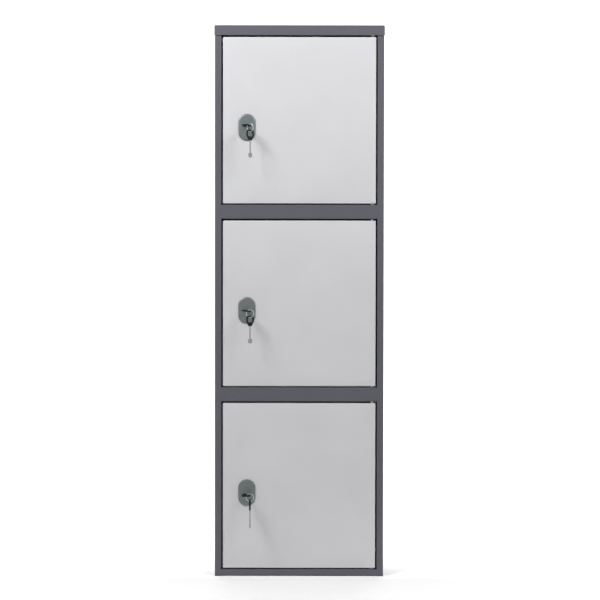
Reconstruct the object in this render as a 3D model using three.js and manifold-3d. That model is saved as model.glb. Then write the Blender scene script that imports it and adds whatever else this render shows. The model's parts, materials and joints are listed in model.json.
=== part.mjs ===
// A steel parcel locker with three compartments, one above the other.
//
// Millimetres, +Z up. The origin lies on the floor under the middle of the cabinet, the doors face -Y,
// they are hinged at +X and they lock at -X. Every sheet-metal part is a folded sheet with round bends.

import * as THREE from 'three';
import { mergeVertices } from 'three/addons/utils/BufferGeometryUtils.js';
import Module from 'manifold-3d';

const wasm = await Module();
wasm.setup();

// Driving dimensions of the cabinet
const HEIGHT = 1490;
const WIDTH = 460;
const DEPTH = 340;
const SHEET = 1;
const BEND = 1;
const GAP = 0.3;

// How far a cutting tool passes the face that it cuts, and how far joined solids reach into each other
const OVER = 2;
const TOUCH = 0.01;

// The cover stands proud of the body by a little at the front and sides
const COVER_FRONT_DROP = 27;
const COVER_SIDE_DROP = 20;
const COVER_RETURN = 20;
const BODY_HALF = WIDTH / 2 - 1.5;
const FRONT = -DEPTH / 2 + 1.5;
const BACK = DEPTH / 2;
const FOLDED_BACK = BACK - SHEET - GAP;

// Uprights beside the doors
const STILE_WIDTH = 18;
const STILE_DEPTH = 21;
const STILE_EDGE = BODY_HALF - STILE_WIDTH;
const STOP_LIP = 12;
const STOP_RETURN = 8;
const REAR_FLANGE = 15;

// Anchor holes in the back panel, for fixing the cabinet to a wall
const ANCHOR_RADIUS = 4;
const ANCHOR_X = 150;
const ANCHOR_END = 110;

// Doors, counted from the bottom one up
const DOOR_COUNT = 3;
const DOOR_WIDTH = 413;
const DOOR_HEIGHT = 448;
const DOOR_DEPTH = 18;
const DOOR_RETURN = 12;
const DOOR_PITCH = 494;
const FIRST_DOOR = 22;
const RAIL_GAP = 3;
const HEAD_GAP = 4.5;
const FIRST_RAIL_TOP = FIRST_DOOR - RAIL_GAP;
const RAIL_DEPTH = 20.3;
const RAIL_RETURN = 13;
const REAR_TURN = 15;
const BUFFER_RADIUS = 3.6;
const BUFFER_DROP = 60;

// Hinge pins and their bushes
const HINGE_INSET = 9;
const HINGE_X = DOOR_WIDTH / 2 - HINGE_INSET;
const HINGE_Y = FRONT + HINGE_INSET;
const PIN_RADIUS = 4;
const PIN_REACH = 6.5;
const PIN_POINT = 0.8;
const PIN_COLLAR = 3;
const PIN_COLLAR_RADIUS = 6.5;
const BUSH_RADIUS = 6;
const BUSH_LENGTH = 8;
const BUSH_FLANGE = 1.5;
const BUSH_FLANGE_RADIUS = 7.2;

// Lock: its axis runs along Y, and depths are counted from the door's front face
const LOCK_X = -DOOR_WIDTH / 2 + 65;
const LOCK_HEIGHT = 205;
const ESCUTCHEON_WIDTH = 46;
const ESCUTCHEON_HEIGHT = 72;
const ESCUTCHEON_THICK = 2.5;
const ROTOR_RADIUS = 8.5;
const ROTOR_DEPTH = 25;
const CAM_RADIUS = 13;
const CAM_THICK = 3;
const CRANK_THROW = 9.2;
const CRANK_RADIUS = 2;
const CRANK_LENGTH = 5;
const CRANK_PLAY = 0.6;
const BOLT_HEIGHT = 24;
const BOLT_THICK = 8;
const BOLT_DEPTH = 5.5;
const BOLT_PLAY = 0.4;
const BOLT_TAIL_THICK = 3;
const CASE_DEPTH = 37;
const CASE_WALL = 1.2;

// Double-bitted key, drawn flat: the bow upwards from 0, the shank downwards
const KEY_INSERTED = 27;
const BOW_WIDTH = 24;
const BOW_LENGTH = 28;
const BOW_THICK = 4.4;
const BOW_STRIP = 3.6;
const EYE_LENGTH = 14;
const SHANK_RADIUS = 2;
const SHANK_LENGTH = 47;
const BIT_HALF_WIDTHS = [6.5, 5.2, 6.5, 5.8];
const BIT_LENGTH = 11;
const BIT_THICK = 2;
const TIP = 2;
const TANG = 8;
const TANG_RADIUS = 1.2;
const KEY_PLAY = 0.4;

// Split ring
const RING_WIRE = 0.8;
const RING_RADIUS = 10.2;
const RING_DROP = 6.2;

// How the keys, rings and spare keys hang in each lock, from the bottom door up, in degrees
const HANGING = [
  { level: 'lower', keyTilt: 0, ringYaw: 0, spareYaw: 90 },
  { level: 'middle', keyTilt: 6, ringYaw: -10, spareYaw: 40 },
  { level: 'upper', keyTilt: 0, ringYaw: -35, spareYaw: 42 },
];

const materials = {
  frame: { color: 0x62626b, roughness: 0.5, metalness: 0.2 },
  door: { color: 0xd2d2d5, roughness: 0.45, metalness: 0.1 },
  satin: { color: 0x76817f, roughness: 0.35, metalness: 0.8 },
  steel: { color: 0x9a9a9a, roughness: 0.35, metalness: 0.9 },
  bow: { color: 0x1c1c1d, roughness: 0.5, metalness: 0 },
  nylon: { color: 0xe4e1d8, roughness: 0.6, metalness: 0 },
  rubber: { color: 0x2a2a2b, roughness: 0.9, metalness: 0 },
};

// ---- Solids ----

function toSolid(geometry) {
  const bare = geometry.clone();
  bare.deleteAttribute('normal');
  bare.deleteAttribute('uv');
  const merged = mergeVertices(bare);
  return new wasm.Manifold(new wasm.Mesh({
    numProp: 3,
    vertProperties: new Float32Array(merged.attributes.position.array),
    triVerts: new Uint32Array(merged.index.array),
  }));
}

function toGeometry(solid) {
  const mesh = solid.getMesh();
  const geometry = new THREE.BufferGeometry();
  geometry.setAttribute('position', new THREE.BufferAttribute(mesh.vertProperties, 3));
  geometry.setIndex(new THREE.BufferAttribute(mesh.triVerts, 1));
  geometry.computeVertexNormals();
  return geometry;
}

function joined(...geometries) {
  const solids = geometries.map(toSolid);
  return toGeometry(solids.reduce((whole, piece) => whole.add(piece)));
}

function cut(geometry, ...tools) {
  const solids = tools.map(toSolid);
  return toGeometry(solids.reduce((rest, tool) => rest.subtract(tool), toSolid(geometry)));
}

function box([x0, x1], [y0, y1], [z0, z1]) {
  const geometry = new THREE.BoxGeometry(x1 - x0, y1 - y0, z1 - z0);
  return geometry.translate((x0 + x1) / 2, (y0 + y1) / 2, (z0 + z1) / 2);
}

// A round bar along Z, or along Y with rodAlongY
function rodAlongZ(radius, [z0, z1], x, y, sides = 20) {
  const geometry = new THREE.CylinderGeometry(radius, radius, z1 - z0, sides).rotateX(Math.PI / 2);
  return geometry.translate(x, y, (z0 + z1) / 2);
}

function rodAlongY(radius, [y0, y1], x, z, sides = 20) {
  return new THREE.CylinderGeometry(radius, radius, y1 - y0, sides).translate(x, (y0 + y1) / 2, z);
}

// A closed profile of [radius, height] points, counter-clockwise, turned about the Z axis
function turned(profile, sides = 14) {
  const points = [...profile, profile[0]].map(([radius, height]) => new THREE.Vector2(radius, height));
  return new THREE.LatheGeometry(points, sides).rotateX(Math.PI / 2);
}

// ---- Outlines ----

// A closed outline through the points, with corner i rounded by radii[i]
function roundedOutline(points, radii) {
  const shape = new THREE.Shape();
  const corners = points.map(([x, y]) => new THREE.Vector2(x, y));
  corners.forEach((corner, i) => {
    const before = corners.at(i - 1);
    const after = corners[(i + 1) % corners.length];
    const incoming = corner.clone().sub(before).normalize();
    const outgoing = after.clone().sub(corner).normalize();
    const turn = Math.atan2(incoming.cross(outgoing), incoming.dot(outgoing));
    const radius = radii[i];
    if (radius === 0) {
      if (i === 0) shape.moveTo(corner.x, corner.y);
      else shape.lineTo(corner.x, corner.y);
      return;
    }
    const side = Math.sign(turn);
    const start = corner.clone().addScaledVector(incoming, -radius * Math.tan(Math.abs(turn) / 2));
    const centre = new THREE.Vector2(start.x - side * incoming.y * radius, start.y + side * incoming.x * radius);
    const startAngle = Math.atan2(start.y - centre.y, start.x - centre.x);
    if (i === 0) shape.moveTo(start.x, start.y);
    shape.absarc(centre.x, centre.y, radius, startAngle, startAngle + turn, side < 0);
  });
  return shape;
}

function rectangle(width, height, radius) {
  const x = width / 2;
  const y = height / 2;
  return roundedOutline([[-x, -y], [x, -y], [x, y], [-x, y]], [radius, radius, radius, radius]);
}

// The section of a sheet folded along a path of its outer faces; the metal lies to the left of the path
function foldedSection(path) {
  const outer = path.map(([x, y]) => new THREE.Vector2(x, y));
  const directions = outer.slice(1).map((point, i) => point.clone().sub(outer[i]).normalize());
  const innerPoints = [];
  const outerRadii = [];
  const innerRadii = [];
  outer.forEach((point, i) => {
    const before = directions[Math.max(i - 1, 0)];
    const after = directions[Math.min(i, directions.length - 1)];
    const turn = before.cross(after);
    const offset = new THREE.Vector2(-before.y - after.y, before.x + after.x);
    const scale = i === 0 || i === outer.length - 1 ? SHEET / 2 : SHEET;
    innerPoints.push([point.x + offset.x * scale, point.y + offset.y * scale]);
    outerRadii.push(turn === 0 ? 0 : BEND + (turn > 0 ? SHEET : 0));
    innerRadii.push(turn === 0 ? 0 : BEND + (turn > 0 ? 0 : SHEET));
  });
  return roundedOutline([...path, ...innerPoints.reverse()], [...outerRadii, ...innerRadii.reverse()]);
}

function mirrored(path) {
  return path.map(([x, y]) => [-x, y]).reverse();
}

// ---- Extrusions ----

function extrude(shape, depth, curveSegments = 2) {
  return new THREE.ExtrudeGeometry(shape, { depth, curveSegments, bevelEnabled: false });
}

// A plate with its edges rounded on both faces, its outline unchanged
function softPlate(shape, depth, edge, curveSegments = 2, bevelSegments = 2) {
  const geometry = new THREE.ExtrudeGeometry(shape, {
    depth: depth - 2 * edge,
    curveSegments,
    bevelThickness: edge,
    bevelSize: edge,
    bevelOffset: -edge,
    bevelSegments,
  });
  return geometry.translate(0, 0, edge);
}

// Turns a shape drawn in (y, z) and extruded from 0 so that it runs along X from x
function standAlongX(geometry, x) {
  const turn = new THREE.Matrix4().makeBasis(
    new THREE.Vector3(0, 1, 0),
    new THREE.Vector3(0, 0, 1),
    new THREE.Vector3(1, 0, 0),
  );
  return geometry.applyMatrix4(turn).translate(x, 0, 0);
}

// Turns a shape drawn in (x, z) and extruded from 0 so that its far face is at y and it thickens forwards
function standFacing(geometry, y) {
  return geometry.rotateX(Math.PI / 2).translate(0, y, 0);
}

// ---- Casework ----

function doorBottom(level) {
  return FIRST_DOOR + DOOR_PITCH * level;
}

function doorTop(level) {
  return doorBottom(level) + DOOR_HEIGHT;
}

function sidePath(endOfStile) {
  return [
    [-BODY_HALF + REAR_FLANGE, FOLDED_BACK],
    [-BODY_HALF, FOLDED_BACK],
    [-BODY_HALF, FRONT],
    [-STILE_EDGE, FRONT],
    ...endOfStile,
  ];
}

const SIDE_TOP = HEIGHT - SHEET - 0.5;
const STILE_BACK = FRONT + STILE_DEPTH;

// The lock side's stile ends in a lip behind the doors' free edges, cut away where the rails pass
function leftSidePanel() {
  const path = sidePath([
    [-STILE_EDGE, STILE_BACK],
    [-STILE_EDGE + STOP_LIP, STILE_BACK],
    [-STILE_EDGE + STOP_LIP, STILE_BACK + STOP_RETURN],
  ]);
  const lipX = [-STILE_EDGE, -STILE_EDGE + STOP_LIP + OVER];
  const lipY = [STILE_BACK - OVER, STILE_BACK + STOP_RETURN + OVER];
  const tools = [box(lipX, lipY, [-OVER, doorBottom(0)])];
  for (let level = 0; level < DOOR_COUNT; level += 1) {
    const nextStart = level + 1 < DOOR_COUNT ? doorBottom(level + 1) : HEIGHT;
    tools.push(box(lipX, lipY, [doorTop(level), nextStart]));
    tools.push(boltSlot(-STILE_EDGE - SHEET / 2, doorBottom(level)));
  }
  return cut(extrude(foldedSection(path), SIDE_TOP), ...tools);
}

// The hinge side's stile closes behind the doors, clear of their turning corners
function rightSidePanel() {
  const path = sidePath([
    [-STILE_EDGE, STILE_BACK - SHEET],
    [-BODY_HALF + 2 * SHEET, STILE_BACK - SHEET],
  ]);
  return joined(extrude(foldedSection(mirrored(path)), SIDE_TOP));
}

// The opening that a bolt passes through, in a sheet at x beside the door that starts at bottom
function boltSlot(x, bottom) {
  const middle = bottom + LOCK_HEIGHT;
  const play = 2 * BOLT_PLAY;
  const half = BOLT_HEIGHT / 2 + play;
  const depth = FRONT + BOLT_DEPTH;
  return box([x - SHEET, x + SHEET], [depth - play, depth + BOLT_THICK + play], [middle - half, middle + half]);
}

// What the stiles need taken out of a sheet that spans the cabinet
function stileNotches([z0, z1]) {
  const edge = STILE_EDGE - GAP;
  const back = STILE_BACK + SHEET + GAP;
  return [
    box([-BODY_HALF - OVER, -edge], [FRONT - OVER, back], [z0, z1]),
    box([edge, BODY_HALF + OVER], [FRONT - OVER, back], [z0, z1]),
  ];
}

function spanningSheet(path, zRange, bushHeights) {
  const half = BODY_HALF - SHEET - GAP;
  const sheet = standAlongX(extrude(foldedSection(path), 2 * half), -half);
  return cut(sheet, ...stileNotches(zRange), ...bushHeights.map(bushHole));
}

function bushHole(z) {
  return rodAlongZ(BUSH_RADIUS + GAP, [z - OVER, z + OVER], HINGE_X, HINGE_Y);
}

// A flat floor with a boxed lip in front, which carries the lowest hinge bush
function bottomPan() {
  const lipBack = FRONT + RAIL_DEPTH;
  const rear = FOLDED_BACK - SHEET - GAP;
  const path = [
    [lipBack, FIRST_RAIL_TOP - RAIL_RETURN],
    [lipBack, FIRST_RAIL_TOP],
    [FRONT, FIRST_RAIL_TOP],
    [FRONT, 0],
    [rear, 0],
    [rear, REAR_TURN],
  ];
  return spanningSheet(path, [-OVER, FIRST_RAIL_TOP + OVER], [FIRST_RAIL_TOP]);
}

// A shelf folded down in front into the rail between two doors
function dividerShelf(level) {
  const top = doorBottom(level + 1) - RAIL_GAP;
  const underside = doorTop(level) + HEAD_GAP;
  const lipBack = FRONT + RAIL_DEPTH;
  const rear = FOLDED_BACK - SHEET - GAP;
  const path = [
    [rear, top - REAR_TURN],
    [rear, top],
    [FRONT, top],
    [FRONT, underside],
    [lipBack, underside],
    [lipBack, underside + RAIL_RETURN],
  ];
  return spanningSheet(path, [underside - OVER, top + OVER], [top, underside]);
}

// A flat sheet screwed on over the folded rear edges of the side panels
function backPanel() {
  const half = BODY_HALF - SHEET - BEND / 2;
  const foot = 3 * SHEET;
  const sheet = box([-half, half], [BACK - SHEET, BACK], [foot, HEIGHT - COVER_SIDE_DROP - SHEET / 2]);
  const holes = [];
  for (const x of [-ANCHOR_X, ANCHOR_X]) {
    for (const z of [ANCHOR_END, HEIGHT - ANCHOR_END]) {
      holes.push(rodAlongY(ANCHOR_RADIUS, [BACK - SHEET - OVER, BACK + OVER], x, z, 16));
    }
  }
  return cut(sheet, ...holes);
}

// The cover: a folded lid, deeper in front, where it returns under itself and holds the top hinge bush
function topCover() {
  const rough = 2 * COVER_FRONT_DROP;
  const below = HEIGHT - rough;
  const corner = BEND + 2 * SHEET;
  const outer = softPlate(rectangle(WIDTH, DEPTH, corner), rough, BEND + SHEET);
  const inner = softPlate(rectangle(WIDTH - 2 * SHEET, DEPTH - 2 * SHEET, corner - SHEET), rough, BEND);
  const shell = cut(outer.translate(0, 0, below), inner.translate(0, 0, below - SHEET));
  const cornerWrap = corner + SHEET / 2;
  const frontEdge = HEIGHT - COVER_FRONT_DROP;
  const sideEdge = HEIGHT - COVER_SIDE_DROP;
  const far = [-WIDTH, WIDTH];
  const trimmed = cut(
    shell,
    box(far, [-DEPTH, DEPTH], [below - OVER, frontEdge]),
    box(far, [-DEPTH / 2 + cornerWrap, DEPTH], [below - OVER, sideEdge]),
  );
  const half = STILE_EDGE - SHEET / 2;
  const inside = -DEPTH / 2 + SHEET / 2;
  const lipBack = FRONT + COVER_RETURN;
  const lip = joined(
    box([-half, half], [inside, lipBack], [frontEdge, frontEdge + SHEET]),
    box([-half, half], [lipBack - SHEET, lipBack], [frontEdge, frontEdge + RAIL_RETURN]),
  );
  return cut(joined(trimmed, lip), bushHole(frontEdge));
}

// A rubber pad on the stop lip, behind the free edge of a door
function doorBuffer(level) {
  const doorBack = FRONT + DOOR_DEPTH;
  const x = -STILE_EDGE + STOP_LIP - SHEET - BUFFER_RADIUS;
  return rodAlongY(BUFFER_RADIUS, [doorBack + GAP, STILE_BACK - GAP], x, doorTop(level) - BUFFER_DROP, 16);
}

// ---- Hinges ----

// A flanged bush, its face flush with the outside of the sheet and the rest of it inside the rail
function hingeBush() {
  const bore = PIN_RADIUS + GAP;
  const under = -SHEET - GAP;
  return turned([
    [bore, -BUSH_LENGTH],
    [BUSH_RADIUS, -BUSH_LENGTH],
    [BUSH_RADIUS, under - BUSH_FLANGE],
    [BUSH_FLANGE_RADIUS, under - BUSH_FLANGE],
    [BUSH_FLANGE_RADIUS, under],
    [BUSH_RADIUS, under],
    [BUSH_RADIUS, 0],
    [bore, 0],
  ]);
}

// A pin that stands down out of the door, with a collar inside the door's folded edge
function hingePin(gap) {
  const collarFoot = SHEET + GAP;
  const end = -gap - PIN_REACH;
  return turned([
    [0, end],
    [PIN_RADIUS - PIN_POINT, end],
    [PIN_RADIUS, end + PIN_POINT],
    [PIN_RADIUS, collarFoot],
    [PIN_COLLAR_RADIUS, collarFoot],
    [PIN_COLLAR_RADIUS, collarFoot + PIN_COLLAR],
    [0, collarFoot + PIN_COLLAR],
  ]);
}

// ---- Doors ----

// A tray folded from one sheet, with returns all round its back
function doorPanel() {
  const outer = softPlate(rectangle(DOOR_WIDTH, DOOR_HEIGHT, 2), DOOR_DEPTH, 1.5, 1);
  const inner = softPlate(
    rectangle(DOOR_WIDTH - 2 * SHEET, DOOR_HEIGHT - 2 * SHEET, 1),
    DOOR_DEPTH - 2 * SHEET,
    0.7,
    1,
  );
  const back = FRONT + DOOR_DEPTH;
  const middle = DOOR_HEIGHT / 2;
  const tray = standFacing(outer, back).translate(0, 0, middle);
  const hollow = standFacing(inner, back - SHEET).translate(0, 0, middle);
  const side = DOOR_WIDTH / 2 - DOOR_RETURN;
  const pin = [HINGE_X, HINGE_Y];
  return cut(
    tray,
    hollow,
    box([-side, side], [back - SHEET - OVER, back + OVER], [DOOR_RETURN, DOOR_HEIGHT - DOOR_RETURN]),
    rodAlongY(ROTOR_RADIUS + SHEET, [FRONT - OVER, FRONT + SHEET + OVER], LOCK_X, LOCK_HEIGHT),
    rodAlongZ(PIN_RADIUS + GAP, [-OVER, SHEET + OVER], ...pin, 16),
    rodAlongZ(PIN_RADIUS + GAP, [DOOR_HEIGHT - SHEET - OVER, DOOR_HEIGHT + OVER], ...pin, 16),
    boltSlot(-DOOR_WIDTH / 2 + SHEET / 2, 0),
  );
}

// A hat-section stiffener up the middle of the door, behind its front sheet
function doorStiffener() {
  const front = FRONT + SHEET + GAP;
  const crown = 14;
  const back = front + crown;
  const brim = crown + 12;
  const path = [
    [brim, front],
    [crown, front],
    [crown, back],
    [-crown, back],
    [-crown, front],
    [-brim, front],
  ];
  const foot = DOOR_RETURN + 3;
  const length = DOOR_HEIGHT - 2 * foot;
  return joined(extrude(foldedSection(path.reverse().map(([x, y]) => [x, y + SHEET])), length))
    .translate(0, 0, foot);
}

// A tall outline whose ends are all but half-round
function obround(width, height) {
  return rectangle(width, height, width / 2 - 1);
}

// The lock's cover plate, with a low rim round a sunk field and a hole for the rotor
function lockEscutcheon() {
  const plate = softPlate(obround(ESCUTCHEON_WIDTH, ESCUTCHEON_HEIGHT), ESCUTCHEON_THICK, 0.7, 4, 1);
  const field = extrude(obround(ESCUTCHEON_WIDTH - 8, ESCUTCHEON_HEIGHT - 8), 2, 4);
  const front = -GAP - ESCUTCHEON_THICK;
  return cut(
    standFacing(plate, -GAP),
    standFacing(field, front + 0.6),
    rodAlongY(ROTOR_RADIUS + GAP, [front - OVER, OVER], 0, 0),
  );
}

// A barrel with a blind keyway, and behind it a cam disc with a crank pin
function lockRotor(keyTilt) {
  const front = -ESCUTCHEON_THICK;
  const camBack = ROTOR_DEPTH + CAM_THICK;
  const crank = CRANK_THROW * Math.SQRT1_2;
  const body = joined(
    rodAlongY(ROTOR_RADIUS, [front, ROTOR_DEPTH + CAM_THICK / 2], 0, 0),
    rodAlongY(CAM_RADIUS, [ROTOR_DEPTH, camBack], 0, 0),
    rodAlongY(CRANK_RADIUS, [camBack - CAM_THICK / 2, camBack + CRANK_LENGTH], crank, -crank, 16),
  );
  const half = BIT_HALF_WIDTHS[0] + KEY_PLAY;
  const slotHalf = BIT_THICK / 2 + KEY_PLAY;
  const slot = box([-half, half], [front - OVER, ROTOR_DEPTH], [-slotHalf, slotHalf]);
  const bore = rodAlongY(SHANK_RADIUS + KEY_PLAY, [front - OVER, ROTOR_DEPTH], 0, 0, 16);
  const keyway = joined(slot, bore).rotateY(THREE.MathUtils.degToRad(keyTilt));
  return cut(body, keyway);
}

const CASE_LEFT = -DOOR_WIDTH / 2 + DOOR_RETURN + CASE_WALL - LOCK_X;
const CASE_RIGHT = 24;
const CASE_HALF_HEIGHT = 33;

// A closed steel box behind the door's front sheet, with openings for the rotor and the bolt
function lockCase() {
  const front = SHEET + GAP;
  const inner = {
    x: [CASE_LEFT + CASE_WALL, CASE_RIGHT - CASE_WALL],
    y: [front + CASE_WALL, CASE_DEPTH - CASE_WALL],
    z: [CASE_WALL - CASE_HALF_HEIGHT, CASE_HALF_HEIGHT - CASE_WALL],
  };
  const boltHalf = BOLT_HEIGHT / 2 + BOLT_PLAY;
  const boltY = [BOLT_DEPTH - BOLT_PLAY, BOLT_DEPTH + BOLT_THICK + BOLT_PLAY];
  return cut(
    box([CASE_LEFT, CASE_RIGHT], [front, CASE_DEPTH], [-CASE_HALF_HEIGHT, CASE_HALF_HEIGHT]),
    box(inner.x, inner.y, inner.z),
    rodAlongY(ROTOR_RADIUS + GAP, [front - OVER, front + CASE_WALL + OVER], 0, 0),
    box([CASE_LEFT - OVER, CASE_LEFT + CASE_WALL + OVER], boltY, [-boltHalf, boltHalf]),
  );
}

// A bolt drawn back flush with the door's edge; its tail reaches behind the cam, round the crank pin
function lockBolt() {
  const tip = -DOOR_WIDTH / 2 + GAP - LOCK_X;
  const crank = CRANK_THROW * Math.SQRT1_2;
  const tailFront = ROTOR_DEPTH + CAM_THICK + SHEET;
  const tailBack = tailFront + BOLT_TAIL_THICK;
  const riser = [-36, -30];
  const half = BOLT_HEIGHT / 2;
  const slotHalf = CRANK_RADIUS + CRANK_PLAY;
  const tailEnd = crank + slotHalf + BOLT_TAIL_THICK;
  const tailFoot = -CRANK_THROW - slotHalf - BOLT_TAIL_THICK;
  return cut(
    joined(
      box([tip, riser[1]], [BOLT_DEPTH, BOLT_DEPTH + BOLT_THICK], [-half, half]),
      box(riser, [BOLT_DEPTH, tailBack], [-half, half]),
      box([riser[0], tailEnd], [tailFront, tailBack], [tailFoot, half]),
    ),
    box(
      [crank - slotHalf, crank + slotHalf],
      [tailFront - OVER, tailBack + OVER],
      [-CRANK_THROW - slotHalf, slotHalf - crank],
    ),
  );
}

// ---- Keys ----

// A moulded grip with a wide eye, and a socket for the shank
function keyBow() {
  const half = BOW_WIDTH / 2;
  const neck = 4.5;
  const shoulder = half;
  const outline = roundedOutline(
    [[-neck, 0], [neck, 0], [half, shoulder], [half, BOW_LENGTH], [-half, BOW_LENGTH], [-half, shoulder]],
    [1, 1, 6, 7, 7, 6],
  );
  const eyeHalf = half - BOW_STRIP;
  const eyeEnd = BOW_LENGTH - BOW_STRIP;
  const eyeStart = eyeEnd - EYE_LENGTH;
  outline.holes.push(roundedOutline(
    [[-eyeHalf, eyeEnd], [eyeHalf, eyeEnd], [eyeHalf, eyeStart], [-eyeHalf, eyeStart]],
    [4, 4, 4, 4],
  ));
  const grip = softPlate(outline, BOW_THICK, 0.6, 1, 1).translate(0, 0, -BOW_THICK / 2);
  const socket = rodAlongY(TANG_RADIUS + KEY_PLAY, [-OVER, TANG + KEY_PLAY], 0, 0, 12);
  return cut(grip, socket);
}

// A round shank with a narrower tang in the bow and two cut flags near its tip
function keyBlade() {
  const bitStart = -SHANK_LENGTH + TIP;
  const step = BIT_LENGTH / BIT_HALF_WIDTHS.length;
  const flags = BIT_HALF_WIDTHS.map((half, i) => {
    const foot = bitStart + i * step;
    const end = i + 1 < BIT_HALF_WIDTHS.length ? foot + step + TOUCH : foot + step;
    return box([-half, half], [foot, end], [-BIT_THICK / 2, BIT_THICK / 2]);
  });
  return joined(
    rodAlongY(SHANK_RADIUS, [-SHANK_LENGTH, -GAP], 0, 0, 12),
    rodAlongY(TANG_RADIUS, [-1, TANG], 0, 0, 12),
    ...flags,
  );
}

function splitRing() {
  return new THREE.TorusGeometry(RING_RADIUS, RING_WIRE, 6, 20);
}

// ---- Assembly ----

const locker = new THREE.Group();

function add(parent, name, geometry, finish) {
  const mesh = new THREE.Mesh(geometry, new THREE.MeshStandardMaterial(materials[finish]));
  mesh.name = name;
  parent.add(mesh);
  return mesh;
}

function addGroup(parent, x, y, z) {
  const group = new THREE.Group();
  group.position.set(x, y, z);
  parent.add(group);
  return group;
}

// Both pins and both bushes of one door; each upper one is a lower one turned over
function addHinges(door, level) {
  const headGap = level + 1 < DOOR_COUNT ? HEAD_GAP : HEIGHT - COVER_FRONT_DROP - doorTop(level);
  const name = HANGING[level].level;
  const ends = [
    { place: 'lower', z: 0, gap: RAIL_GAP, turn: 0 },
    { place: 'upper', z: DOOR_HEIGHT, gap: headGap, turn: Math.PI },
  ];
  for (const end of ends) {
    const outward = end.turn === 0 ? -1 : 1;
    const pinEnd = addGroup(door, HINGE_X, HINGE_Y, end.z);
    pinEnd.rotation.x = end.turn;
    add(pinEnd, `${name}_door_${end.place}_hinge_pin`, hingePin(end.gap), 'steel');
    const bushEnd = addGroup(door, HINGE_X, HINGE_Y, end.z + outward * end.gap);
    bushEnd.rotation.x = end.turn;
    add(bushEnd, `${name}_door_${end.place}_hinge_bush`, hingeBush(), 'nylon');
  }
}

// The key in the lock, the ring round the right-hand strip of its bow, and the spare key on the ring
function addKeys(lock, { level, keyTilt, ringYaw, spareYaw }) {
  const tilt = THREE.MathUtils.degToRad(keyTilt);
  const escutcheonFront = -GAP - ESCUTCHEON_THICK;
  const bowFoot = escutcheonFront + KEY_INSERTED - SHANK_LENGTH;
  const turn = addGroup(lock, 0, bowFoot, 0);
  turn.rotation.y = tilt;
  const key = addGroup(turn, 0, 0, 0);
  key.rotation.x = Math.PI;
  add(key, `${level}_key_blade`, keyBlade(), 'steel');
  add(key, `${level}_key_bow`, keyBow(), 'bow');

  const stripX = (BOW_WIDTH - BOW_STRIP) / 2;
  const eyeMiddle = BOW_LENGTH - BOW_STRIP - EYE_LENGTH / 2;
  const strip = new THREE.Vector3(stripX * Math.cos(tilt), bowFoot - eyeMiddle, -stripX * Math.sin(tilt));
  const ring = addGroup(lock, strip.x, strip.y, strip.z - RING_DROP);
  ring.rotation.set(Math.PI / 2, 0, THREE.MathUtils.degToRad(ringYaw), 'ZYX');
  add(ring, `${level}_key_ring`, splitRing(), 'steel');

  const wireBottom = strip.z - RING_DROP - RING_RADIUS;
  const barFoot = BOW_LENGTH - BOW_STRIP;
  const spare = addGroup(lock, strip.x, strip.y, wireBottom + RING_WIRE + GAP - barFoot);
  spare.rotation.set(Math.PI / 2, 0, THREE.MathUtils.degToRad(spareYaw), 'ZYX');
  add(spare, `${level}_spare_key_blade`, keyBlade(), 'steel');
  add(spare, `${level}_spare_key_bow`, keyBow(), 'bow');
}

function addDoor(level) {
  const hanging = HANGING[level];
  const door = addGroup(locker, 0, 0, doorBottom(level));
  add(door, `${hanging.level}_door_panel`, doorPanel(), 'door');
  add(door, `${hanging.level}_door_stiffener`, doorStiffener(), 'door');
  addHinges(door, level);

  const lock = addGroup(door, LOCK_X, FRONT, LOCK_HEIGHT);
  add(lock, `${hanging.level}_lock_escutcheon`, lockEscutcheon(), 'satin');
  add(lock, `${hanging.level}_lock_case`, lockCase(), 'steel');
  add(lock, `${hanging.level}_lock_rotor`, lockRotor(hanging.keyTilt), 'satin');
  add(lock, `${hanging.level}_lock_bolt`, lockBolt(), 'steel');
  addKeys(lock, hanging);
}

add(locker, 'left_side_panel', leftSidePanel(), 'frame');
add(locker, 'right_side_panel', rightSidePanel(), 'frame');
add(locker, 'bottom_pan', bottomPan(), 'frame');
add(locker, 'lower_divider_shelf', dividerShelf(0), 'frame');
add(locker, 'upper_divider_shelf', dividerShelf(1), 'frame');
add(locker, 'back_panel', backPanel(), 'frame');
add(locker, 'top_cover', topCover(), 'frame');
for (let level = 0; level < DOOR_COUNT; level += 1) {
  add(locker, `${HANGING[level].level}_door_buffer`, doorBuffer(level), 'rubber');
  addDoor(level);
}

export default locker;
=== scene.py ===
"""A steel parcel locker with three compartments: its finished surfaces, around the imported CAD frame."""

import json
import math

import bmesh
import bpy
from mathutils import Matrix, Vector
from mathutils.geometry import tessellate_polygon


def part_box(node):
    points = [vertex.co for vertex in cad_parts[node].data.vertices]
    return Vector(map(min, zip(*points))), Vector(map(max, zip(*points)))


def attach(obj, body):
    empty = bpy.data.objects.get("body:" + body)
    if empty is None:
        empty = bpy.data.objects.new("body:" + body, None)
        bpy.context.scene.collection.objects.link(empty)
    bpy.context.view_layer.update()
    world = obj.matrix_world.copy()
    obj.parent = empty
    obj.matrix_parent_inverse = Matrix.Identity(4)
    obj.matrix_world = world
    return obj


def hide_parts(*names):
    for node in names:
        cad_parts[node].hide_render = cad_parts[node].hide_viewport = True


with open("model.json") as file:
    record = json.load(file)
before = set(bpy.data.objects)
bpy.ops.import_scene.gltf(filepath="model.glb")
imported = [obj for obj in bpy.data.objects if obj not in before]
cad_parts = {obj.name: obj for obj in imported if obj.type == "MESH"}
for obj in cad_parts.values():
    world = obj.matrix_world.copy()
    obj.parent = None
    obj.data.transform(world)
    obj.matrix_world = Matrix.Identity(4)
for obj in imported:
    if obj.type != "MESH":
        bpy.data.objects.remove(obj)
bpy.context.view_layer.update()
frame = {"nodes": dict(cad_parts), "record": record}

MM = 0.001
LEVELS = ("lower", "middle", "upper")
UP = Vector((0, 0, 1))
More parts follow.
